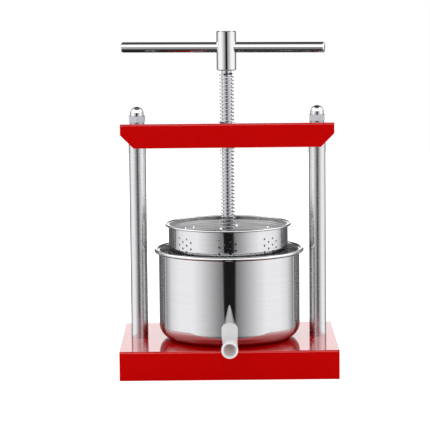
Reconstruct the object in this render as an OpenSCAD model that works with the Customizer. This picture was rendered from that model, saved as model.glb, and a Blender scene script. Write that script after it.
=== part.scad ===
// Small fruit wine press: folded steel base and crossbeam on two posts, a trapezoidal
// screw with a cross handle, a pressing plate, a perforated basket and a juice pot.
// Millimetres, +Z up, front towards -Y. Origin: screw axis at the level of the table.

/* [Base] */
// Width of the base, left to right
base_w = 241; // [230:1:300]
// Depth of the base, front to back
base_d = 184; // [176:1:240]
// Height of the base
base_h = 32; // [26:1:50]

/* [Folded sheet] */
// Thickness of the steel sheet of base and crossbeam
sheet_t = 2; // [2:0.25:3.5]
// Inside radius of the folds
fold_r = 0.25; // [0.25:0.25:2]

/* [Crossbeam] */
// Width of the crossbeam, left to right
beam_w = 239; // [230:1:300]
// Depth of the crossbeam, front to back
beam_d = 36; // [36:1:50]
// Height of the crossbeam's flanges
beam_h = 27; // [24:1:40]
// Size of the slanted lower corners of the flanges
beam_chamfer = 15; // [0:1:18]

/* [Posts and tie rods] */
// Distance between the two post axes
post_gap = 202; // [196:1:212]
// Outside diameter of the post tubes
post_d = 19; // [16:0.5:22]
// Wall of the post tubes
post_wall = 1.5; // [1:0.25:3]
// Length of the post tubes
post_len = 241.5; // [230:0.5:300]
// Diameter of the tie rods inside the posts
rod_d = 10; // [8:1:12]
// How far the tie rods stand out below their nuts
rod_tail = 3; // [1:0.5:6]
// Clearance of the rod holes in the sheet, on the diameter
rod_clear = 1; // [0.5:0.25:2]
// How far the tie rods reach into the domes of the cap nuts
rod_head = 3; // [1:0.5:4]

/* [Nuts and washers] */
// Width across flats of the cap nuts and base nuts
nut_af = 17; // [16:0.5:18.5]
// Turn of the tightened cap nuts about the rods, from a flat to the front
nut_turn = 27; // [-30:1:30]
// Height of the hexagon of a cap nut
cap_hex_h = 7; // [6:0.5:9]
// Height of the dome of a cap nut
cap_dome_h = 10; // [8:0.5:13]
// Diameter of the dome of a cap nut
cap_dome_d = 15; // [13:0.5:16]
// Height of the base nuts
base_nut_h = 8; // [6:0.5:10]
// Outside diameter of the spring washers
spring_washer_d = 16.5; // [15:0.5:18]
// Thickness of the spring washers
spring_washer_t = 1.5; // [1:0.25:2.5]
// Outside diameter of the flat washers under the base
flat_washer_d = 20; // [18:1:26]
// Thickness of the flat washers under the base
flat_washer_t = 2; // [1:0.5:3]
// Clearance of the washers on their rods and bolts, on the diameter
washer_clear = 0.4; // [0.2:0.1:0.8]

/* [Trapezoidal thread] */
// Outside diameter of the screw
screw_d = 16; // [14:1:18]
// Rise of the thread in one turn
pitch = 4; // [3:1:4]
// Core diameter of the screw
core_d = 11.5; // [10.5:0.5:11.5]
// Play between screw and nut, on the radius and on each flank
thread_play = 0.25; // [0.2:0.05:0.3]

/* [Screw and nut] */
// Height of the handle hub above the crossbeam at rest
screw_out = 58.5; // [20:0.5:80]
// Length of screw from the handle hub to the thrust face
screw_len = 193.5; // [185:0.5:200]
// Diameter of the plain neck under the hub and of the journal
neck_d = 11; // [10:0.25:11]
// Length of bare neck that shows under the hub
neck_len = 2.7; // [1:0.1:6]
// Length of the neck inside the hub
tenon_len = 15; // [10:0.5:17]
// Height of the collar between the thread and the thrust washer
collar_h = 3; // [2:0.5:4]
// How much smaller the collar is than the thread, on the diameter
collar_step = 0.8; // [0.5:0.1:1.5]
// Outside diameter of the screw nut
screw_nut_d = 28; // [26:0.5:30]
// Height of the screw nut below the crossbeam's web
screw_nut_h = 20; // [14:1:21]
// Diameter of the spigot that fills the hole in the web
spigot_d = 20.6; // [19.5:0.1:22]

/* [Handle] */
// Diameter of the hub
hub_d = 22; // [20:0.5:26]
// Height of the hub
hub_h = 44; // [40:1:50]
// Height of the bar's axis above the hub's lower end
bar_up = 25.5; // [24:0.5:28]
// Diameter of the bar
bar_d = 12; // [10:0.5:14]
// Length of the bar
bar_len = 230; // [160:1:260]
// How far the bar's middle is off the hub's axis
bar_offset = -4.5; // [-10:0.5:10]
// Turn of the bar about the screw axis at rest
bar_turn = -10; // [-45:1:45]
// Diameter of the set screw that holds the bar
set_screw_d = 6; // [5:0.5:8]
// Width of the set screw's hexagon socket, across its corners
set_key_d = 3.5; // [2.5:0.1:4]

/* [Pressing plate] */
// Diameter of the pressing plate
plate_d = 128; // [100:1:130]
// Thickness of the pressing plate
plate_t = 4; // [3:0.5:6]
// Outside diameter of the socket on the plate
socket_d = 26; // [24:0.5:26]
// Height of the socket on the plate
socket_h = 22; // [20:1:26]
// Width of the slanted weld round the socket's foot
socket_foot = 3; // [1:0.5:5]
// Running clearance of the journal in the socket, on the radius
journal_play = 0.05; // [0.02:0.01:0.1]
// Thickness of the thrust washer
thrust_t = 2; // [1:0.5:3]
// Outside diameter of the thrust washer
thrust_d = 22; // [18:1:24]
// End play of the screw in the socket
end_play = 0.3; // [0.2:0.05:0.4]
// Diameter of the retaining bolt
bolt_d = 6; // [5:1:6]
// Width across flats of the retaining bolt's head
bolt_af = 10; // [8:0.5:11]
// Height of the retaining bolt's head
bolt_head_h = 4; // [3:0.1:5]
// Outside diameter of the retaining washer
retainer_d = 18; // [16:0.5:18]
// Thickness of the retaining washer
retainer_t = 2; // [1.5:0.5:2.5]

/* [Juice pot] */
// How far the loose pot stands to the right of the screw's axis
pot_x = 1; // [-3:0.1:3]
// Outside diameter of the pot's wall
pot_d = 159.2; // [152:0.2:170]
// Height of the pot
pot_h = 102; // [90:1:120]
// Wall of the pot
pot_wall = 1; // [0.8:0.1:1.5]
// Outside radius between the pot's wall and floor
pot_corner = 16; // [8:1:20]
// Diameter over the pot's rolled rim
pot_rim_d = 169; // [167:0.5:178]
// Diameter of the roll of the pot's rim
pot_bead = 4.4; // [3:0.2:5.5]

/* [Basket] */
// How far the loose basket stands to the right of the screw's axis
basket_x = 0.2; // [-1.5:0.1:1.5]
// Outside diameter of the basket's wall
basket_d = 134.8; // [134:0.2:140]
// Height of the basket
basket_h = 129; // [115:0.5:150]
// Wall of the basket
basket_wall = 0.8; // [0.8:0.1:1.5]
// Outside radius between the basket's wall and floor
basket_corner = 8; // [5:1:14]
// Diameter over the basket's rim
basket_rim_d = 142.2; // [140.5:0.1:146]
// Diameter of the roll of the basket's rim
basket_bead = 2.4; // [1.6:0.2:3]

/* [Basket holes] */
// Diameter of a drain hole
hole_d = 2.4; // [1.5:0.1:3]
// Groups of holes round the wall
hole_groups = 8; // [4:1:10]
// Columns of holes in a group
hole_columns = 4; // [2:1:4]
// Distance between columns round the wall
hole_step = 6.1; // [5:0.1:7]
// Distance between holes up a column
hole_rise = 7.1; // [6:0.1:9]
// Distance of the first holes below the rim
hole_top = 12; // [8:0.5:20]
// Height of the band at the wall's foot without holes
hole_foot = 16; // [12:1:40]
// Turn of the holes about the axis
hole_turn = -1; // [-20:1:20]
// Rings of holes in the floor
floor_rings = 4; // [1:1:4]
// Holes in the innermost ring, and how many more each next ring has
ring_holes = 6; // [4:1:8]
// Distance between the rings of holes in the floor
floor_step = 12; // [8:1:13]

/* [Outlet] */
// Turn of the loose pot with its outlet, from straight ahead
outlet_turn = -0.4; // [-10:0.1:10]
// Height of the outlet's axis at the pot's wall, above the base
outlet_up = 26.5; // [24:0.5:40]
// Slope of the outlet below the level
outlet_slope = 28; // [10:1:35]
// Outside diameter of the outlet pipe
pipe_d = 12.7; // [10:0.1:14]
// Wall of the outlet pipe and its beak
pipe_wall = 1; // [0.8:0.1:1.5]
// Length of the outlet pipe from the pot's wall
pipe_len = 24; // [14:1:26]
// Height of the beak's tip above the outlet's axis at the wall
beak_h = 26; // [18:0.5:30]
// Lean of the beak towards the pot's wall
beak_lean = 6.5; // [6:1:14]
// Width of the beak's tip
beak_tip_d = 0.4; // [0.2:0.1:1]
// Outside diameter of the tube
tube_d = 18; // [16:0.5:20]
// Clearance of the tube on the pipe, on the diameter
tube_fit = 0.1; // [0.05:0.05:0.2]
// Length of pipe left bare between wall and tube
tube_start = 6.2; // [4:0.1:8]
// Length of the tube's straight sloping part
tube_straight = 22.6; // [16:1:30]
// Radius of the tube's bend, at its middle
tube_bend = 40; // [30:1:60]
// Length of the tube's level end
tube_end = 8; // [6:0.5:20]
// How much wider the tube's cut end is, on the diameter
tube_flare = 0.2; // [0.1:0.1:1]

/* [Hidden] */
$fn = 96;

// Colours
red = [0.75, 0.02, 0.02];
steel = [0.78, 0.78, 0.8];
satin = [0.62, 0.63, 0.65];
zinc = [0.7, 0.71, 0.72];
bronze = [0.7, 0.5, 0.25];
silicone = [0.93, 0.93, 0.93];

// Levels, from the table up
z_web = base_h - sheet_t;
z_post_top = base_h + post_len;
z_beam = z_post_top + sheet_t;
z_cap = z_beam + spring_washer_t;
z_hub = z_beam + screw_out;
z_bar = z_hub + bar_up;
z_hub_top = z_hub + hub_h;
z_thrust = z_hub - screw_len;
z_socket_top = z_thrust - thrust_t;
z_plate_top = z_socket_top - socket_h;
z_plate = z_plate_top - plate_t;
z_pot_floor = base_h + pot_wall;
z_basket_top = z_pot_floor + basket_h;

// Thread: steps in a turn, slope of its flanks, and what follows from the sizes
steps = 16;
flank = tan(15);
thread_depth = (screw_d - core_d) / 2;
crest = pitch / 2 - thread_depth * flank - thread_play;
collar_d = screw_d - collar_step;
z_thread = z_thrust + collar_h - pitch / 4;
thread_turns = floor((z_hub - neck_len - pitch / 2 - z_thread) / pitch * steps) / steps;
over = 1;

// Inside the socket of the pressing plate, and the set screw's place in the hub
recess_d = retainer_d + 2;
head_gap = 0.4;
recess_h = bolt_head_h + retainer_t + end_play + head_gap;
z_recess = z_plate_top + recess_h;
z_retainer = z_recess - end_play;
bolt_len = 16;
z_bar_seat = z_bar + bar_d / 2;
set_gap = 0.5;

// Outlet and pots
pipe_bore = pipe_d - 2 * pipe_wall;
tube_bore = pipe_d + tube_fit;
z_outlet = base_h + outlet_up;
beak_out = pipe_d / 8;
pot_r = pot_d / 2;
basket_r = basket_d / 2;

module tube(d_out, d_in, h) {
  difference() {
    cylinder(d = d_out, h = h);
    translate([0, 0, -over]) cylinder(d = d_in, h = h + 2 * over);
  }
}

// Hexagonal block, its upper end and on request its lower end turned to a slight cone
module hex_block(af, h, both = true) {
  r = af / cos(30) / 2;
  far = r + over;
  drop = (far - af / 2) * tan(30);
  low = both ? [[af / 2, 0], [far, drop]] : [[far, 0]];
  high = [[far, h - drop], [af / 2, h], [0, h]];
  intersection() {
    cylinder(r = r, h = h, $fn = 6);
    rotate_extrude() polygon(concat([[0, 0]], low, high));
  }
}

// Outline of an upside-down folded channel, seen from its end
module channel_outline(d, h, r) {
  translate([-d / 2, -over]) square([d, h - r + over]);
  translate([-d / 2 + r, -over]) square([d - 2 * r, h + over]);
  for (s = [-1, 1]) translate([s * (d / 2 - r), h - r]) circle(r);
}

module channel(w, d, h) {
  rotate([90, 0, 90]) linear_extrude(w, center = true) difference() {
    intersection() {
      channel_outline(d, h, fold_r + sheet_t);
      translate([-d, 0]) square([2 * d, h]);
    }
    channel_outline(d - 2 * sheet_t, h - sheet_t, fold_r);
  }
}

module at_posts() {
  for (s = [-1, 1]) translate([s * post_gap / 2, 0, 0]) children();
}

module rod_holes(z) {
  at_posts() translate([0, 0, z - over])
    cylinder(d = rod_d + rod_clear, h = sheet_t + 2 * over);
}

module base_plate() {
  color(red) difference() {
    channel(base_w, base_d, base_h);
    rod_holes(z_web);
  }
}

module crossbeam() {
  color(red) difference() {
    translate([0, 0, z_beam - beam_h]) channel(beam_w, beam_d, beam_h);
    rod_holes(z_post_top);
    translate([0, 0, z_post_top - over]) cylinder(d = spigot_d, h = sheet_t + 2 * over);
    for (s = [-1, 1]) beam_corner(s);
  }
}

// Slanted cut through both flanges at one end of the crossbeam
module beam_corner(s) {
  translate([s * beam_w / 2, 0, z_beam - beam_h]) rotate([90, 0, 0])
    linear_extrude(beam_d + 2 * over, center = true)
      polygon([[-s * beam_chamfer, -over], [s * over, -over], [s * over, beam_chamfer],
        [0, beam_chamfer], [-s * beam_chamfer, 0]]);
}

module post() {
  color(satin) translate([0, 0, base_h]) tube(post_d, post_d - 2 * post_wall, post_len);
}

module left_post() {
  translate([-post_gap / 2, 0, 0]) post();
}

module right_post() {
  translate([post_gap / 2, 0, 0]) post();
}

module tie_rods() {
  low = z_web - flat_washer_t - base_nut_h - rod_tail;
  color(zinc) at_posts() translate([0, 0, low])
    cylinder(d = rod_d, h = z_cap + cap_hex_h + rod_head - low);
}

module cap_nuts() {
  color(steel) at_posts() translate([0, 0, z_cap]) difference() {
    union() {
      dome_r = cap_dome_d / 2;
      rotate([0, 0, nut_turn]) hex_block(nut_af, cap_hex_h, false);
      translate([0, 0, cap_hex_h]) cylinder(r = dome_r, h = cap_dome_h - dome_r);
      translate([0, 0, cap_hex_h + cap_dome_h - dome_r]) sphere(dome_r);
    }
    translate([0, 0, -over]) cylinder(d = rod_d, h = cap_hex_h + rod_head + over);
  }
}

module spring_washers() {
  split = 1.5;
  slant = 35;
  turn = 200;
  reach = spring_washer_d;
  color(zinc) at_posts() translate([0, 0, z_beam]) difference() {
    tube(spring_washer_d, rod_d + washer_clear, spring_washer_t);
    rotate([slant, 0, turn]) translate([0, -split / 2, -reach]) cube([reach, split, 2 * reach]);
  }
}

module flat_washers() {
  color(zinc) at_posts() translate([0, 0, z_web - flat_washer_t])
    tube(flat_washer_d, rod_d + washer_clear, flat_washer_t);
}

module base_nuts() {
  color(zinc) at_posts() translate([0, 0, z_web - flat_washer_t - base_nut_h]) difference() {
    hex_block(nut_af, base_nut_h);
    translate([0, 0, -over]) cylinder(d = rod_d, h = base_nut_h + 2 * over);
  }
}

// One ring of the thread at step i: root, crest, crest and root, from below upwards
function thread_ring(i, z, r_root, r_crest, w_root, w_crest) =
  let(a = i * 360 / steps, m = z + i * pitch / steps)
  [for (p = [[r_root, -w_root], [r_crest, -w_crest], [r_crest, w_crest], [r_root, w_root]])
    [p[0] * cos(a), p[0] * sin(a), m + p[1] / 2]];

// Solid trapezoidal screw thread, right-hand, whose ridge starts at angle 0 and height z
module thread(z, turns, r_root, r_crest, w_crest) {
  w_root = w_crest + 2 * (r_crest - r_root) * flank;
  n = turns * steps;
  rings = [for (i = [0 : n]) each thread_ring(i, z, r_root, r_crest, w_root, w_crest)];
  foot = len(rings);
  head = foot + 1;
  ends = [[0, 0, z], [0, 0, z + turns * pitch]];
  ridge = [for (i = [0 : n - 1]) for (k = [0 : 2])
    let(a = 4 * i + k) each [[a, a + 1, a + 5], [a, a + 5, a + 4]]];
  root = [for (i = [0 : n - steps - 1])
    let(a = 4 * i + 3, b = 4 * (i + steps)) each [[a, b, b + 4], [a, b + 4, a + 4]]];
  low = [for (i = [0 : steps - 1]) [foot, 4 * i, 4 * i + 4]];
  low_end = [[foot, 4 * steps, 3], [foot, 3, 2], [foot, 2, 1], [foot, 1, 0]];
  high = [for (i = [n - steps : n - 1]) [head, 4 * i + 7, 4 * i + 3]];
  t = 4 * n;
  high_end = [[head, 4 * (n - steps) + 3, t], [head, t, t + 1], [head, t + 1, t + 2],
    [head, t + 2, t + 3]];
  polyhedron(concat(rings, ends), concat(ridge, root, low, low_end, high, high_end));
}

module screw_nut() {
  below = ceil((z_post_top - screw_nut_h - z_thread) / pitch) - 2;
  turns = ceil((screw_nut_h + sheet_t) / pitch) + 3;
  color(zinc) difference() {
    union() {
      translate([0, 0, z_post_top - screw_nut_h]) cylinder(d = screw_nut_d, h = screw_nut_h);
      translate([0, 0, z_post_top - over]) cylinder(d = spigot_d, h = sheet_t + over);
    }
    thread(z_thread + below * pitch, turns, core_d / 2 + thread_play,
      screw_d / 2 + thread_play, crest + 2 * thread_play);
  }
}

module press_screw() {
  z_end = z_thread + thread_turns * pitch;
  color(steel) difference() {
    union() {
      thread(z_thread, thread_turns, core_d / 2, screw_d / 2, crest);
      translate([0, 0, z_thrust]) cylinder(d = collar_d, h = collar_h);
      translate([0, 0, z_retainer]) cylinder(d = neck_d, h = z_thread + pitch - z_retainer);
      translate([0, 0, z_end - pitch])
        cylinder(d = neck_d, h = z_hub + tenon_len - z_end + pitch);
    }
    translate([0, 0, z_retainer - over]) cylinder(d = bolt_d, h = bolt_len + over);
  }
}

module handle_hub() {
  edge = 1;
  r = hub_d / 2;
  color(steel) difference() {
    translate([0, 0, z_hub]) rotate_extrude()
      polygon([[0, 0], [r - edge, 0], [r, edge], [r, hub_h - edge], [r - edge, hub_h],
        [0, hub_h]]);
    translate([0, 0, z_hub - over]) cylinder(d = neck_d, h = tenon_len + over);
    translate([0, 0, z_bar]) rotate([0, 90, bar_turn])
      cylinder(d = bar_d, h = 2 * hub_d, center = true);
    translate([0, 0, z_bar]) cylinder(d = set_screw_d, h = hub_h);
  }
}

module tommy_bar() {
  edge = 1.2;
  r = bar_d / 2;
  l = bar_len / 2;
  color(steel) translate([0, 0, z_bar]) rotate([0, 90, bar_turn]) translate([0, 0, bar_offset])
    rotate_extrude()
      polygon([[0, -l], [r - edge, -l], [r, edge - l], [r, l - edge], [r - edge, l], [0, l]]);
}

module set_screw() {
  color(zinc) difference() {
    translate([0, 0, z_bar_seat]) cylinder(d = set_screw_d, h = z_hub_top - set_gap - z_bar_seat);
    translate([0, 0, z_hub_top - set_screw_d / 2 - set_gap])
      cylinder(d = set_key_d, h = set_screw_d, $fn = 6);
  }
}

module press_plate() {
  round_r = plate_t / 3;
  r = plate_d / 2;
  color(steel) translate([0, 0, z_plate]) rotate_extrude() union() {
    translate([recess_d / 2, 0]) square([r - round_r - recess_d / 2, plate_t]);
    translate([recess_d / 2, round_r]) square([r - recess_d / 2, plate_t - 2 * round_r]);
    for (z = [round_r, plate_t - round_r]) translate([r - round_r, z]) circle(round_r);
  }
}

module plate_socket() {
  color(steel) difference() {
    translate([0, 0, z_plate_top]) union() {
      cylinder(d = socket_d, h = socket_h);
      cylinder(d1 = socket_d + 2 * socket_foot, d2 = socket_d, h = socket_foot);
    }
    translate([0, 0, z_plate_top - over]) cylinder(d = recess_d, h = recess_h + over);
    translate([0, 0, z_plate_top]) cylinder(d = neck_d + 2 * journal_play, h = socket_h + over);
  }
}

module thrust_washer() {
  color(bronze) translate([0, 0, z_socket_top])
    tube(thrust_d, neck_d + 2 * journal_play, thrust_t);
}

module retaining_washer() {
  color(zinc) translate([0, 0, z_retainer - retainer_t])
    tube(retainer_d, bolt_d + washer_clear, retainer_t);
}

module retaining_bolt() {
  z_head = z_retainer - retainer_t - bolt_head_h;
  color(zinc) union() {
    translate([0, 0, z_head + bolt_head_h]) rotate([180, 0, 0])
      hex_block(bolt_af, bolt_head_h, false);
    translate([0, 0, z_head]) cylinder(d = bolt_d, h = bolt_head_h + retainer_t + bolt_len);
  }
}

// Half outline of a pot's outer or inner face: radius r, height h, corner radius c
module pot_outline(r, h, c) {
  square([r - c, h]);
  translate([0, c]) square([r, h - c]);
  translate([r - c, c]) circle(c);
}

// Drawn pot with a rim that turns outwards into a roll
module pot_shell(d, h, wall, corner, rim_d, bead) {
  r = d / 2;
  lip = bead / 2;
  rotate_extrude() {
    difference() {
      pot_outline(r, h - lip, corner);
      translate([0, wall]) pot_outline(r - wall, h + over, corner - wall);
      translate([-2 * r, 0]) square([2 * r, h]);
    }
    translate([r - wall, h - lip - wall / 2]) square([rim_d / 2 - lip - r + wall, wall]);
    translate([rim_d / 2 - lip, h - lip]) circle(lip);
  }
}

module basket() {
  color(steel) translate([basket_x, 0, 0]) difference() {
    translate([0, 0, z_pot_floor])
      pot_shell(basket_d, basket_h, basket_wall, basket_corner, basket_rim_d, basket_bead);
    wall_holes();
    floor_holes();
  }
}

module wall_holes() {
  turn = hole_step / basket_r * 180 / PI;
  rows = floor((basket_h - hole_top - hole_foot) / hole_rise);
  for (g = [0 : hole_groups - 1], c = [0 : hole_columns - 1], k = [0 : rows - 1]) {
    a = hole_turn + g * 360 / hole_groups + (c - (hole_columns - 1) / 2) * turn;
    drop = hole_top + (k + (c % 2) / 2) * hole_rise;
    translate([0, 0, z_basket_top - drop]) rotate([90, 0, a])
      translate([0, 0, basket_r - basket_wall - over])
      cylinder(d = hole_d, h = basket_wall + 2 * over, $fn = 16);
  }
}

module floor_holes() {
  for (ring = [1 : floor_rings], k = [1 : ring_holes * ring])
    rotate([0, 0, k * 360 / ring_holes / ring])
      translate([ring * floor_step, 0, z_pot_floor - over])
      cylinder(d = hole_d, h = basket_wall + 2 * over, $fn = 16);
}

// Moves to the pot's wall at the outlet, with out more to the front
module at_wall(out = 0) {
  translate([pot_x, 0, z_outlet]) rotate([0, 0, outlet_turn]) translate([0, -pot_r - out, 0])
    children();
}

// Turns to the sloping pipe: +Z there points down it, away from the pot
module at_outlet() {
  at_wall() rotate([90 + outlet_slope, 0, 0]) children();
}

// Beak that runs up the pot's wall from the pipe
module beak_form(d, tip) {
  at_wall(beak_out) rotate([-beak_lean, 0, 0]) cylinder(d1 = d, d2 = beak_tip_d, h = tip);
}

// Bore of the pipe, from inside the pot through its wall to beyond the pipe's end
module outlet_bore() {
  at_outlet() translate([0, 0, -2 * pipe_d])
    cylinder(d = pipe_bore, h = 2 * pipe_d + pipe_len + over);
}

module juice_pot() {
  color(steel) difference() {
    translate([pot_x, 0, base_h])
      pot_shell(pot_d, pot_h, pot_wall, pot_corner, pot_rim_d, pot_bead);
    outlet_bore();
  }
}

module outlet_spout() {
  color(steel) difference() {
    union() {
      beak_form(pipe_d, beak_h);
      at_outlet() translate([0, 0, -pipe_d]) cylinder(d = pipe_d, h = pipe_len + pipe_d);
    }
    beak_form(pipe_bore, beak_h - 2 * pipe_wall);
    outlet_bore();
    translate([pot_x, 0, base_h]) cylinder(r = pot_r, h = pot_h);
  }
}

module outlet_tube() {
  color(silicone) at_outlet() translate([0, 0, tube_start]) difference() {
    tube_form(tube_d, 0);
    tube_form(tube_bore, over);
  }
}

// Bent round bar along the tube's middle line, longer by extra at both ends
module tube_form(d, extra) {
  lap = 0.5;
  translate([0, 0, -extra]) cylinder(d = d, h = tube_straight + extra);
  translate([0, tube_bend, tube_straight]) {
    rotate([90, 0, -90]) rotate_extrude(angle = outlet_slope)
      translate([tube_bend, 0]) circle(d = d);
    rotate([-outlet_slope, 0, 0]) translate([0, -tube_bend, -lap])
      cylinder(d = d + tube_flare, h = tube_end + lap + extra);
  }
}

base_plate();
left_post();
right_post();
crossbeam();
tie_rods();
cap_nuts();
spring_washers();
flat_washers();
base_nuts();
screw_nut();
press_screw();
handle_hub();
tommy_bar();
set_screw();
press_plate();
plate_socket();
thrust_washer();
retaining_washer();
retaining_bolt();
basket();
juice_pot();
outlet_spout();
outlet_tube();
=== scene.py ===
# Fruit wine press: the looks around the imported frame. Metres, +Z up, front towards -Y.
import math

import bmesh
import bpy
import numpy as np
from mathutils import Matrix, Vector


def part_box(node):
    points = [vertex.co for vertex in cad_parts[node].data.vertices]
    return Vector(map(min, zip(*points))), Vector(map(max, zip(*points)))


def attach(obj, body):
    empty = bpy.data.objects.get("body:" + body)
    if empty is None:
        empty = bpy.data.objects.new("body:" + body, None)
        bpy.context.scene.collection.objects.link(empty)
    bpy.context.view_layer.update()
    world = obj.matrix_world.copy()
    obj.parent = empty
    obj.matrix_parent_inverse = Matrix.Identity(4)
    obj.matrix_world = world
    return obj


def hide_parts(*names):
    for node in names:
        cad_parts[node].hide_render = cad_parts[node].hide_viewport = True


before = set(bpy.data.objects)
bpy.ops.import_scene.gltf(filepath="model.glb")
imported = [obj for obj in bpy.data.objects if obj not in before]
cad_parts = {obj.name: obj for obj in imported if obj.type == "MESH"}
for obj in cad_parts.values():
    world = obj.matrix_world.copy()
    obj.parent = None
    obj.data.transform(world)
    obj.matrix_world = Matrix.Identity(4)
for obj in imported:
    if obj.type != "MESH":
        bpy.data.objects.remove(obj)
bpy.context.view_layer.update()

mm = 0.001
fullTurn = 2 * math.pi
print("frame loaded:", len(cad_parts), "nodes")


# Colours are written as sRGB hex, shaders want linear light
def hexLinear(text):
    parts = np.array([int(text[i:i + 2], 16) for i in (1, 3, 5)]) / 255
    linear = np.where(parts <= 0.04045, parts / 12.92, ((parts + 0.055) / 1.055) ** 2.4)
    return (*linear.tolist(), 1.0)


# One node with its settings. inputs gives each socket a value, or an output to link from
def addNode(tree, kind, inputs=None, **settings):
    node = tree.nodes.new(kind)
    for name, value in settings.items():
        setattr(node, name, value)
    for socket, value in (inputs or {}).items():
        if isinstance(value, bpy.types.NodeSocket):
            tree.links.new(value, node.inputs[socket])
        else:
            node.inputs[socket].default_value = value
    return node


# The output of one sum on shader values
def calculate(tree, operation, *terms):
    return addNode(tree, "ShaderNodeMath", dict(enumerate(terms)), operation=operation).outputs[0]


# The output of two colours mixed by a factor
def blend(tree, factor, first, second, how="MIX"):
    inputs = {0: factor, 6: first, 7: second}
    return addNode(tree, "ShaderNodeMix", inputs, data_type="RGBA", blend_type=how).outputs[2]


# Puts stops (position 0 to 1, grey level) on a colour ramp
def setStops(ramp, stops):
    elements = ramp.color_ramp.elements
    while len(elements) < len(stops):
        elements.new(0.5)
    for element, (position, level) in zip(elements, stops):
        element.position = position
        element.color = (level, level, level, 1)
    return ramp


# Camera: fitted to the posts, the bar and the base, 2.4 m before the press
camera = {
    "place": (-0.0111, -2.3553, 0.4679),
    "yaw": -0.00143, "pitch": -0.12547, "roll": -0.01,  # radians
    "lens": 176.14, "sensor": 36.0,  # millimetres
}


def makeCamera():
    yaw, pitch, roll = camera["yaw"], camera["pitch"], camera["roll"]
    ahead = np.array([math.sin(yaw) * math.cos(pitch), math.cos(yaw) * math.cos(pitch), math.sin(pitch)])
    right = np.array([math.cos(yaw), -math.sin(yaw), 0.0])
    up = np.cross(right, ahead)
    side = right * math.cos(roll) + up * math.sin(roll)
    top = up * math.cos(roll) - right * math.sin(roll)
    data = bpy.data.cameras.new("camera")
    data.lens = camera["lens"]
    data.sensor_width = camera["sensor"]
    data.clip_start, data.clip_end = 0.1, 50
    made = bpy.data.objects.new("camera", data)
    turn = np.column_stack([side, top, -ahead, camera["place"]])
    made.matrix_world = Matrix([*turn.tolist(), [0, 0, 0, 1]])
    bpy.context.scene.collection.objects.link(made)
    bpy.context.scene.camera = made


makeCamera()

# Studio: a white cove with a dark gap behind the camera and dark flags beside the backdrop.
# Stops are degrees and brightness, as polished metal sees them
studio = {
    "level": 1.0,  # what matt surfaces see all round
    "gain": 1.3,  # how much brighter the lamps' own panels are
    "around": [(0, 0.01), (9.5, 0.01), (11, 0.22), (18, 0.32), (32, 0.55), (47, 0.8), (62, 1), (90, 1),
               (108, 0.85), (120, 0.5), (132, 0.12), (160, 0.1), (170, 0.3), (173, 1), (180, 1)],
    "height": [(-90, 0.02), (-50, 0.03), (-28, 0.5), (-22, 1), (90, 1)],
    "overhead": [(-90, 0), (12, 0), (18, 1), (90, 1)],  # share of the lamp bank above the camera
    "bank": [(-90, 1), (50, 1), (64, 0.1), (90, 0.06)],  # its brightness up to the zenith
    "bankGain": (1.7, 0.06),  # how much of it shows on the camera's side, and behind the press
    "bankFade": (0.66, 0.75),  # where the one gives way to the other, in half turns from the camera's side
    "floorSize": 5.0, "floorGlow": 0.62,
    "floorGap": 0.1 * mm,  # below the edges that the base stands on
}


def makeWorld():
    world = bpy.data.worlds.new("studio")
    world.use_nodes = True
    bpy.context.scene.world = world
    tree = world.node_tree
    tree.nodes.clear()
    ray = addNode(tree, "ShaderNodeTexCoord").outputs["Generated"]
    axis = addNode(tree, "ShaderNodeSeparateXYZ", {0: ray})
    aside = calculate(tree, "ABSOLUTE", axis.outputs[0])
    front = calculate(tree, "MULTIPLY", axis.outputs[1], -1.0)
    turn = calculate(tree, "DIVIDE", calculate(tree, "ARCTAN2", aside, front), math.pi)
    rise = calculate(tree, "ARCSINE", axis.outputs[2])
    rise = addNode(tree, "ShaderNodeMapRange", {0: rise, 1: -math.pi / 2, 2: math.pi / 2}).outputs[0]

    def ramp(name, source, low):
        stops = [((angle - low) / 180, level) for angle, level in studio[name]]
        return setStops(addNode(tree, "ShaderNodeValToRGB", {0: source}), stops).outputs[0]

    around = ramp("around", turn, 0)
    height = ramp("height", rise, -90)
    overhead = ramp("overhead", rise, -90)
    bank = ramp("bank", rise, -90)
    (fadeFrom, fadeTo), (gainFront, gainBack) = studio["bankFade"], studio["bankGain"]
    share = addNode(tree, "ShaderNodeMapRange", {0: turn, 1: fadeFrom, 2: fadeTo, 3: gainFront, 4: gainBack})
    low = blend(tree, 1.0, around, height, "MULTIPLY")
    high = blend(tree, 1.0, bank, share.outputs[0], "MULTIPLY")
    seen = blend(tree, overhead, low, high)
    lit = addNode(tree, "ShaderNodeVectorMath", {0: seen, "Scale": studio["gain"]}, operation="SCALE")
    path = addNode(tree, "ShaderNodeLightPath")
    white = calculate(tree, "MAXIMUM", path.outputs["Is Camera Ray"], path.outputs["Is Transmission Ray"])
    plain = blend(tree, white, (studio["level"],) * 3 + (1,), (1, 1, 1, 1))
    colour = blend(tree, path.outputs["Is Glossy Ray"], plain, lit.outputs[0])
    glow = addNode(tree, "ShaderNodeBackground", {0: colour, 1: 1.0})
    addNode(tree, "ShaderNodeOutputWorld", {0: glow.outputs[0]})


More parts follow.
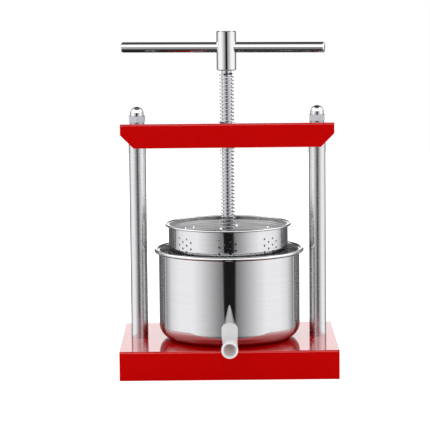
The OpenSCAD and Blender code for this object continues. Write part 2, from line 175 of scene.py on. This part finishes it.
def makeFloor():
    half = studio["floorSize"] / 2
    mesh = bpy.data.meshes.new("floor")
    corners = [(-half, -half, 0), (half, -half, 0), (half, half, 0), (-half, half, 0)]
    mesh.from_pydata(corners, [], [(0, 1, 2, 3)])
    floor = bpy.data.objects.new("floor", mesh)
    floor.location.z = -studio["floorGap"]
    bpy.context.scene.collection.objects.link(floor)
    material = bpy.data.materials.new("paleCove")
    material.use_nodes = True
    tree = material.node_tree
    tree.nodes.clear()
    path = addNode(tree, "ShaderNodeLightPath")
    lift = calculate(tree, "MULTIPLY", path.outputs["Is Camera Ray"], studio["floorGlow"])
    matt = addNode(tree, "ShaderNodeBsdfDiffuse", {"Color": hexLinear("#F0F0F0")})
    glow = addNode(tree, "ShaderNodeEmission", {"Strength": lift})
    both = addNode(tree, "ShaderNodeAddShader", {0: matt.outputs[0], 1: glow.outputs[0]})
    addNode(tree, "ShaderNodeOutputMaterial", {0: both.outputs[0]})
    mesh.materials.append(material)
    floor.visible_glossy = False  # polished metal sees the world's own lower half


makeWorld()
makeFloor()
bpy.context.scene.view_settings.view_transform = "Standard"
print("camera and studio ready")


# A material with its shader and output; returns material, tree and shader
def newMaterial(name, **values):
    material = bpy.data.materials.new(name)
    material.use_nodes = True
    tree = material.node_tree
    tree.nodes.clear()
    inputs = {key.replace("_", " "): value for key, value in values.items()}
    shader = addNode(tree, "ShaderNodeBsdfPrincipled", inputs)
    addNode(tree, "ShaderNodeOutputMaterial", {0: shader.outputs[0]})
    return material, tree, shader


# Links a shader's colour to a blend of two hex colours by a pattern
def tintBy(tree, shader, pattern, first, second):
    tint = blend(tree, pattern, hexLinear(first), hexLinear(second))
    tree.links.new(tint, shader.inputs["Base Color"])


# Noise on Object coordinates, stretched by a scale along each axis, in patterns per metre
def stretchedNoise(tree, scale, detail=2.0, source=None):
    if source is None:
        source = addNode(tree, "ShaderNodeTexCoord").outputs["Object"]
    placed = addNode(tree, "ShaderNodeMapping", {"Vector": source, "Scale": scale})
    inputs = {"Vector": placed.outputs[0], "Scale": 1.0, "Detail": detail}
    return addNode(tree, "ShaderNodeTexNoise", inputs)


# Object coordinates turned to (angle in turns, distance from the axis, height), for what was turned or spun
def roundCoordinates(tree):
    place = addNode(tree, "ShaderNodeTexCoord").outputs["Object"]
    axis = addNode(tree, "ShaderNodeSeparateXYZ", {0: place})
    angle = calculate(tree, "ARCTAN2", axis.outputs[1], axis.outputs[0])
    turns = calculate(tree, "DIVIDE", angle, fullTurn)
    flat = addNode(tree, "ShaderNodeCombineXYZ", {0: axis.outputs[0], 1: axis.outputs[1], 2: 0.0})
    reach = addNode(tree, "ShaderNodeVectorMath", {0: flat.outputs[0]}, operation="LENGTH")
    return addNode(tree, "ShaderNodeCombineXYZ",
                   {0: turns, 1: reach.outputs["Value"], 2: axis.outputs[2]}).outputs[0]


# Fine marks of a lathe, of rolling or of brushing round: a few to a turn, and a width apart up and outwards
def turnedMarks(tree, width, perTurn=3.0):
    return stretchedNoise(tree, (perTurn, 1 / width, 1 / width), 2.0, roundCoordinates(tree)).outputs[0]


# Gives a shader a roughness that wanders with a pattern, and a bump of it
def surfaceFrom(tree, shader, pattern, rough, bump, height):
    spread = addNode(tree, "ShaderNodeMapRange", {0: pattern, 1: 0.3, 2: 0.7, 3: rough[0], 4: rough[1]})
    tree.links.new(spread.outputs[0], shader.inputs["Roughness"])
    relief = addNode(tree, "ShaderNodeBump", {"Strength": bump, "Distance": height, "Height": pattern})
    tree.links.new(relief.outputs[0], shader.inputs["Normal"])


# Baked red enamel on steel: a deep even red under a hard clear gloss with a faint orange peel
enamel = {"colour": "#CC0000", "shade": "#C40000", "cloud": 60 * mm,
          "peel": 2.5 * mm, "height": 0.004 * mm, "rough": (0.1, 0.16)}


def glossRedEnamel():
    material, tree, shader = newMaterial("glossRedEnamel", Coat_Weight=1.0, Coat_Roughness=0.02,
                                         Specular_IOR_Level=0.1)
    cloud = stretchedNoise(tree, (1 / enamel["cloud"],) * 3)
    tintBy(tree, shader, cloud.outputs[0], enamel["colour"], enamel["shade"])
    peel = stretchedNoise(tree, (1 / enamel["peel"],) * 3)
    surfaceFrom(tree, shader, peel.outputs[0], enamel["rough"], 1.0, enamel["height"])
    relief = shader.inputs["Normal"].links[0].from_socket
    tree.links.new(relief, shader.inputs["Coat Normal"])
    return material


# Satin stainless tube, centreless ground: a soft even sheen whose fine marks run round it
satin = {"colour": "#D6D6D8", "shade": "#D0D0D2", "height": 0.001 * mm, "rough": (0.25, 0.28),
         "grain": 2 * mm, "stretch": 10}  # a mark's size up the tube, and how many times longer it is across


def satinStainless():
    material, tree, shader = newMaterial("satinStainless", Metallic=1.0)
    mark = stretchedNoise(tree, (1 / satin["stretch"] / satin["grain"],) * 2 + (1 / satin["grain"],))
    tintBy(tree, shader, mark.outputs[0], satin["colour"], satin["shade"])
    surfaceFrom(tree, shader, mark.outputs[0], satin["rough"], 0.1, satin["height"])
    return material


# Polished and chromed turned steel: mirror bright, with turning marks that barely show
chrome = {"colour": "#DCDCDE", "mark": 0.4 * mm, "height": 0.0015 * mm, "rough": (0.04, 0.08)}


def polishedChrome():
    colour = hexLinear(chrome["colour"])
    material, tree, shader = newMaterial("polishedChrome", Metallic=1.0, Base_Color=colour)
    mark = turnedMarks(tree, chrome["mark"])
    surfaceFrom(tree, shader, mark, chrome["rough"], 0.3, chrome["height"])
    return material


# Rolled thread of the screw: burnished crests, with flanks and root painted darker as painted shade
thread = {"crest": "#DCDCDE", "root": "#C4C4C8", "low": 6.6 * mm, "high": 7.9 * mm, "mark": 0.5 * mm,
          "height": 0.0015 * mm, "rough": (0.03, 0.06)}


def rolledThread():
    material, tree, shader = newMaterial("rolledThread", Metallic=1.0)
    # painted shade: darker from the crest down the flanks into the root, by distance from the axis
    reach = addNode(tree, "ShaderNodeSeparateXYZ", {0: roundCoordinates(tree)}).outputs[1]
    rootShade = addNode(tree, "ShaderNodeMapRange", {0: reach, 1: thread["low"], 2: thread["high"]})
    tintBy(tree, shader, rootShade.outputs[0], thread["root"], thread["crest"])
    mark = turnedMarks(tree, thread["mark"])
    surfaceFrom(tree, shader, mark, thread["rough"], 0.3, thread["height"])
    return material


# Nickel-plated cap nuts: a satin hexagon under a polished dome
nut = {"satin": "#B4B4B8", "bright": "#DCDCDE", "rough": (0.3, 0.4), "polish": 0.05, "hexagon": 7 * mm,
       "cloud": 1.5 * mm, "height": 0.004 * mm}


def platedNut(foot):
    material, tree, shader = newMaterial("platedNut", Metallic=1.0)
    place = addNode(tree, "ShaderNodeTexCoord").outputs["Object"]
    level = addNode(tree, "ShaderNodeSeparateXYZ", {0: place}).outputs[2]
    dome = calculate(tree, "GREATER_THAN", level, foot + nut["hexagon"])
    tintBy(tree, shader, dome, nut["satin"], nut["bright"])
    cloud = stretchedNoise(tree, (1 / nut["cloud"],) * 3)
    surfaceFrom(tree, shader, cloud.outputs[0], nut["rough"], 0.3, nut["height"])
    dull = shader.inputs["Roughness"].links[0].from_socket
    rough = addNode(tree, "ShaderNodeMix", {0: dome, 2: dull, 3: nut["polish"]})
    tree.links.new(rough.outputs[0], shader.inputs["Roughness"])
    return material


# Welded outlet beak: softly polished, greyer than the pot
beak = {"colour": "#868688", "shade": "#78787A", "cloud": 3 * mm, "height": 0.004 * mm,
        "rough": (0.24, 0.32)}


def beakSteel():
    material, tree, shader = newMaterial("softBeakSteel", Metallic=1.0)
    cloud = stretchedNoise(tree, (1 / beak["cloud"],) * 3)
    tintBy(tree, shader, cloud.outputs[0], beak["colour"], beak["shade"])
    surfaceFrom(tree, shader, cloud.outputs[0], beak["rough"], 0.3, beak["height"])
    return material


# Drawn stainless sheet, polished outside, brushed inside. Fine lines run round it, so light spreads upright.
# The inside is painted darker towards the bottom, a painted shade that begins at one depth below the top edge
# and is full at a second.
# Tilt makes the floor count as inside, and bead is the height of the rolled rim
sheet = {"colour": "#D4D4D6", "shade": "#C8C8CA", "bright": "#F6F6F6", "dull": "#BEBEC0",
         "paintedShade": "#5A5A5C", "shadeStart": 14 * mm, "shadeFull": 28 * mm,
         "line": 0.6 * mm, "height": 0.002 * mm, "spread": 0.7,
         "outside": (0.08, 0.12), "inside": (0.56, 0.66), "tilt": 30 * mm, "bead": 4.6 * mm}


# Where a spun pot's surface faces its own axis or up its floor, below the bead: 1 inside, 0 outside
def insideMask(tree, axisX, topEdge):
    place = addNode(tree, "ShaderNodeTexCoord")
    axis = addNode(tree, "ShaderNodeSeparateXYZ", {0: place.outputs["Object"]})
    across = calculate(tree, "SUBTRACT", axis.outputs[0], axisX)
    outward = addNode(tree, "ShaderNodeCombineXYZ", {0: across, 1: axis.outputs[1], 2: -sheet["tilt"]})
    facing = addNode(tree, "ShaderNodeVectorMath", {0: place.outputs["Normal"], 1: outward.outputs[0]},
                     operation="DOT_PRODUCT")
    inward = calculate(tree, "LESS_THAN", facing.outputs["Value"], 0.0)
    below = calculate(tree, "LESS_THAN", axis.outputs[2], topEdge - sheet["bead"])
    return calculate(tree, "MULTIPLY", inward, below)


def drawnSheet(name, axisX=0.0, topEdge=1.0):
    material, tree, shader = newMaterial(name, Metallic=1.0, Anisotropic=sheet["spread"],
                                         Anisotropic_Rotation=0.25)
    line = turnedMarks(tree, sheet["line"], 5.0)
    outside = blend(tree, line, hexLinear(sheet["colour"]), hexLinear(sheet["shade"]))
    surfaceFrom(tree, shader, line, sheet["outside"], 0.4, sheet["height"])
    inside = insideMask(tree, axisX, topEdge)
    band = addNode(tree, "ShaderNodeMapRange", {0: line, 1: 0.35, 2: 0.65}).outputs[0]
    brushed = blend(tree, band, hexLinear(sheet["bright"]), hexLinear(sheet["dull"]))
    place = addNode(tree, "ShaderNodeTexCoord").outputs["Object"]
    level = addNode(tree, "ShaderNodeSeparateXYZ", {0: place}).outputs[2]
    # painted shade: the inside's colour darkens with depth below the top edge
    shadeStart, shadeFull = topEdge - sheet["shadeStart"], topEdge - sheet["shadeFull"]
    depth = addNode(tree, "ShaderNodeMapRange", {0: level, 1: shadeStart, 2: shadeFull}).outputs[0]
    shadedInside = blend(tree, depth, brushed, hexLinear(sheet["paintedShade"]))
    tree.links.new(blend(tree, inside, outside, shadedInside), shader.inputs["Base Color"])
    bright = shader.inputs["Roughness"].links[0].from_socket
    low, high = sheet["inside"]
    soft = addNode(tree, "ShaderNodeMapRange", {0: line, 1: 0.3, 2: 0.7, 3: low, 4: high})
    rough = addNode(tree, "ShaderNodeMix", {0: inside, 2: bright, 3: soft.outputs[0]})
    tree.links.new(rough.outputs[0], shader.inputs["Roughness"])
    tangent = addNode(tree, "ShaderNodeTangent", direction_type="RADIAL", axis="Z")
    tree.links.new(tangent.outputs[0], shader.inputs["Tangent"])
    return material


# Drawn sheet for a node that is round about its own upright axis
def spunSteel(name, node):
    low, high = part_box(node)
    return drawnSheet(name, (low[0] + high[0]) / 2, high[2])


# Bright zinc plate on fasteners: a faint bluish crystalline cloud
zinc = {"colour": "#B4B6BA", "shade": "#9C9EA4", "cloud": 3 * mm, "height": 0.01 * mm, "rough": (0.25, 0.4)}


def zincPlate():
    material, tree, shader = newMaterial("zincPlate", Metallic=1.0)
    cloud = stretchedNoise(tree, (1 / zinc["cloud"],) * 3, 5.0)
    tintBy(tree, shader, cloud.outputs[0], zinc["colour"], zinc["shade"])
    surfaceFrom(tree, shader, cloud.outputs[0], zinc["rough"], 0.5, zinc["height"])
    return material


# Blackened steel of the set screw: dull oily black
oxide = {"colour": "#2A2A2C", "cloud": 1.11 * mm, "height": 0.01 * mm, "rough": (0.3, 0.45)}


def blackOxide():
    colour = hexLinear(oxide["colour"])
    material, tree, shader = newMaterial("blackOxide", Metallic=1.0, Base_Color=colour)
    cloud = stretchedNoise(tree, (1 / oxide["cloud"],) * 3, 4.0)
    surfaceFrom(tree, shader, cloud.outputs[0], oxide["rough"], 0.5, oxide["height"])
    return material


# Turned bronze of the thrust washer: warm, with fine turning marks
bronze = {"colour": "#B98A4E", "mark": 0.4 * mm, "height": 0.006 * mm, "rough": (0.2, 0.32)}


def turnedBronze():
    colour = hexLinear(bronze["colour"])
    material, tree, shader = newMaterial("turnedBronze", Metallic=1.0, Base_Color=colour)
    mark = turnedMarks(tree, bronze["mark"])
    surfaceFrom(tree, shader, mark, bronze["rough"], 0.5, bronze["height"])
    return material


# Silicone tube: milky, lets some light through, slightly waxy skin
silicone = {"colour": "#EEEEEE", "ripple": 4 * mm, "height": 0.02 * mm, "rough": (0.3, 0.42),
            "reach": 10 * mm, "depth": (1, 1, 1)}  # light goes equally deep in red, green and blue


def milkySilicone():
    material, tree, shader = newMaterial(
        "milkySilicone", Base_Color=hexLinear(silicone["colour"]), IOR=1.41, Subsurface_Weight=1.0,
        Subsurface_Scale=silicone["reach"], Subsurface_Radius=silicone["depth"])
    ripple = stretchedNoise(tree, (1 / silicone["ripple"],) * 3)
    surfaceFrom(tree, shader, ripple.outputs[0], silicone["rough"], 0.4, silicone["height"])
    return material


redEnamel, tubeSatin, brightChrome = glossRedEnamel(), satinStainless(), polishedChrome()
sheetSteel, zincCoat, milkTube = drawnSheet("polishedSheet"), zincPlate(), milkySilicone()
potSteel, basketSteel = spunSteel("drawnPot", "juice_pot"), spunSteel("drawnBasket", "basket")
blackSteel, bronzeRing = blackOxide(), turnedBronze()
threadSteel = rolledThread()
nutSteel, spoutSteel = platedNut(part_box("cap_nuts")[0][2]), beakSteel()

finishes = {
    "base_plate": redEnamel, "crossbeam": redEnamel, "left_post": tubeSatin, "right_post": tubeSatin,
    "tie_rods": zincCoat, "cap_nuts": nutSteel, "spring_washers": zincCoat, "flat_washers": zincCoat,
    "base_nuts": zincCoat, "screw_nut": zincCoat, "press_screw": threadSteel, "handle_hub": brightChrome,
    "tommy_bar": brightChrome, "set_screw": blackSteel, "press_plate": sheetSteel,
    "plate_socket": sheetSteel, "thrust_washer": bronzeRing, "retaining_washer": zincCoat,
    "retaining_bolt": zincCoat,
    "basket": basketSteel, "juice_pot": potSteel, "outlet_spout": spoutSteel, "outlet_tube": milkTube,
}
for name, material in finishes.items():
    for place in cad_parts[name].material_slots:
        place.material = material
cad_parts["crossbeam"].visible_glossy = False  # so the bar and the screw mirror no red of it
print("materials assigned to", len(finishes), "nodes")


# Adds a piece from points and quads, merges points that coincide and keeps edges over 20 degrees sharp
def makePiece(name, points, quads, material, node, body):
    mesh = bpy.data.meshes.new(name)
    mesh.from_pydata(points.reshape(-1, 3).tolist(), [], quads.tolist())
    shape = bmesh.new()
    shape.from_mesh(mesh)
    bmesh.ops.remove_doubles(shape, verts=shape.verts, dist=0.001 * mm)
    bmesh.ops.recalc_face_normals(shape, faces=shape.faces)
    shape.to_mesh(mesh)
    shape.free()
    mesh.polygons.foreach_set("use_smooth", np.ones(len(mesh.polygons), bool))
    mesh.set_sharp_from_angle(angle=math.radians(20))
    mesh.materials.append(material)
    piece = bpy.data.objects.new(name, mesh)
    bpy.context.scene.collection.objects.link(piece)
    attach(piece, body)
    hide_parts(node)
    return piece


# Quads between the rows of a grid whose columns close on themselves, shift rows higher at the seam
def ringQuads(rows, columns, shift=0):
    row, column = np.meshgrid(np.arange(rows - 1 - shift), np.arange(columns), indexing="ij")
    nextColumn = (column + 1) % columns
    nextRow = row + np.where(column == columns - 1, shift, 0)
    return np.stack([row * columns + column, nextRow * columns + nextColumn,
                     (nextRow + 1) * columns + nextColumn, (row + 1) * columns + column], -1).reshape(-1, 4)


# Press screw, 16 x 4 mm trapezoidal thread with a neck in the hub and a journal in the plate's socket
screw = {
    "pitch": 4 * mm, "outer": 8 * mm, "core": 5.75 * mm, "crest": 1.147 * mm,
    "slope": math.tan(math.radians(15)),
    "break": 0.15 * mm,  # chamfer on the crest's and in the root's corners
    "neck": 5.5 * mm, "neckLength": 2.7 * mm, "length": 193.5 * mm,
    "collar": 7.6 * mm, "collarHeight": 3 * mm, "chamfer": 0.4 * mm, "columns": 64,
}


# Radius is a trapezoid wave of (height - pitch * turn); both ends run out on a 45 degree cone.
# Rows follow the wave's corners, so the seam joins each row to the one a pitch higher
def makeScrew():
    pitch, core, outer, cut = screw["pitch"], screw["core"], screw["outer"], screw["break"]
    (_, _, foot), (_, _, head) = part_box("press_screw")
    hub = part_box("handle_hub")[0][2]
    thrust = hub - screw["length"]
    low, high = thrust + screw["collarHeight"], hub - screw["neckLength"]
    start = low - pitch / 4
    half = screw["crest"] / 2
    base = half + (outer - core) * screw["slope"]
    side = cut * screw["slope"]
    waveHeight = np.array([-base - cut, -base + side, -half - side, -half + cut, half - cut, half + side,
                           base - side, base + cut])
    waveRadius = np.array([core, core + cut, outer - cut, outer, outer, outer - cut, core + cut, core])
    columns, turns = screw["columns"], math.ceil((high - start) / pitch) + 3
    turn = np.arange(columns) / columns
    level = np.add.outer(np.arange(turns) * pitch, waveHeight).reshape(-1, 1) + start - pitch + pitch * turn
    level = np.clip(level, low, high)
    runOut = core + np.minimum(level - low, high - level)
    radius = np.minimum(np.tile(waveRadius, turns).reshape(-1, 1), runOut)
    angle = turn * fullTurn
    helix = np.stack([radius * np.cos(angle), radius * np.sin(angle), level], -1)
    quads = [ringQuads(len(helix), columns, len(waveHeight))]
    neck, collar, bevel = screw["neck"], screw["collar"], screw["chamfer"]
    below = [(0, foot), (neck, foot), (neck, thrust), (collar - bevel, thrust), (collar, thrust + bevel),
             (collar, low - bevel), (collar - bevel, low), (core, low)]
    above = [(core, high), (neck, high), (neck, head), (0, head)]
    points = [helix.reshape(-1, 3)]
    for outline in (below, above):
        reach, height = np.array(outline).T[:, :, None]
        rings = np.stack(np.broadcast_arrays(reach * np.cos(angle), reach * np.sin(angle), height), -1)
        quads.append(ringQuads(len(outline), columns) + sum(len(p) for p in points))
        points.append(rings.reshape(-1, 3))
    makePiece("threadedScrew", np.concatenate(points), np.concatenate(quads), threadSteel,
              "press_screw", "screw")


makeScrew()
print("screw made")


# Soft tube: full where it grips the steel pipe, slimmer past the pipe's end, and full again at its mouth
tube = {
    "axisX": 1 * mm, "turn": math.radians(-0.4), "slope": math.radians(28),
    "wall": 79.6 * mm, "height": 58.5 * mm,  # where the pipe's axis meets the pot
    "start": 6.2 * mm, "straight": 22.6 * mm, "bend": 40 * mm, "end": 8 * mm,
    "outer": 9.05 * mm, "waist": 1.1 * mm, "grip": 6.42 * mm, "slack": 0.35 * mm, "flare": 0.5 * mm,
    "lip": 0.5 * mm,  # chamfer round both ends, and inside the mouth
    "sway": 0.6 * mm,  # sideways, where it hangs free
    "waistFrom": 8 * mm, "waistTo": 48 * mm, "freeFrom": 18 * mm, "freeTo": 42 * mm, "flareFrom": 38 * mm,
    "rows": 80, "columns": 64,
}


# A sine squared bump between two lengths along the tube, 0 outside them
def bumpBetween(along, low, high):
    return np.sin(math.pi * np.clip((along - low) / (high - low), 0, 1)) ** 2


# The axis runs down the slope, levels out on an arc and ends flat. The walls are rings around it: the outer one
# less a bump at the waist, the inner one less a bump where the tube hangs free, plus a ramp to the mouth
def makeTube():
    straight, slope = tube["straight"], tube["slope"]
    length = straight + tube["bend"] * slope + tube["end"]
    along = np.linspace(0, length, tube["rows"])
    free = bumpBetween(along, tube["freeFrom"], tube["freeTo"])
    mouth = np.clip((along - tube["flareFrom"]) / (length - tube["flareFrom"]), 0, 1)
    outer = tube["outer"] - tube["waist"] * bumpBetween(along, tube["waistFrom"], tube["waistTo"])
    inner = tube["grip"] - tube["slack"] * free + tube["flare"] * mouth
    outer[[0, -1]] -= tube["lip"]
    inner[-1] += tube["lip"]
    loop = np.concatenate([np.arange(len(along)), np.arange(len(along))[::-1], [0]])
    radius = np.concatenate([outer, inner[::-1], outer[:1]])[:, None]
    fall = np.clip(slope - (along - straight) / tube["bend"], 0, slope)
    step = np.diff(along, prepend=0)
    reach = tube["wall"] + tube["start"] * math.cos(slope) + np.cumsum(np.cos(fall) * step)
    level = tube["height"] - tube["start"] * math.sin(slope) - np.cumsum(np.sin(fall) * step)
    reach, level, fall, aside = (line[loop][:, None] for line in (reach, level, fall, tube["sway"] * free))
    angle = np.arange(tube["columns"]) / tube["columns"] * fullTurn
    aside = aside + radius * np.cos(angle)
    reach = reach + radius * np.sin(angle) * np.sin(fall)
    level = level + radius * np.sin(angle) * np.cos(fall)
    turn = tube["turn"]
    points = np.stack([tube["axisX"] + reach * math.sin(turn) + aside * math.cos(turn),
                       aside * math.sin(turn) - reach * math.cos(turn), level], -1)
    makePiece("softTube", points, ringQuads(len(loop), tube["columns"]), milkTube,
              "outlet_tube", "frame")


makeTube()
print("tube made")
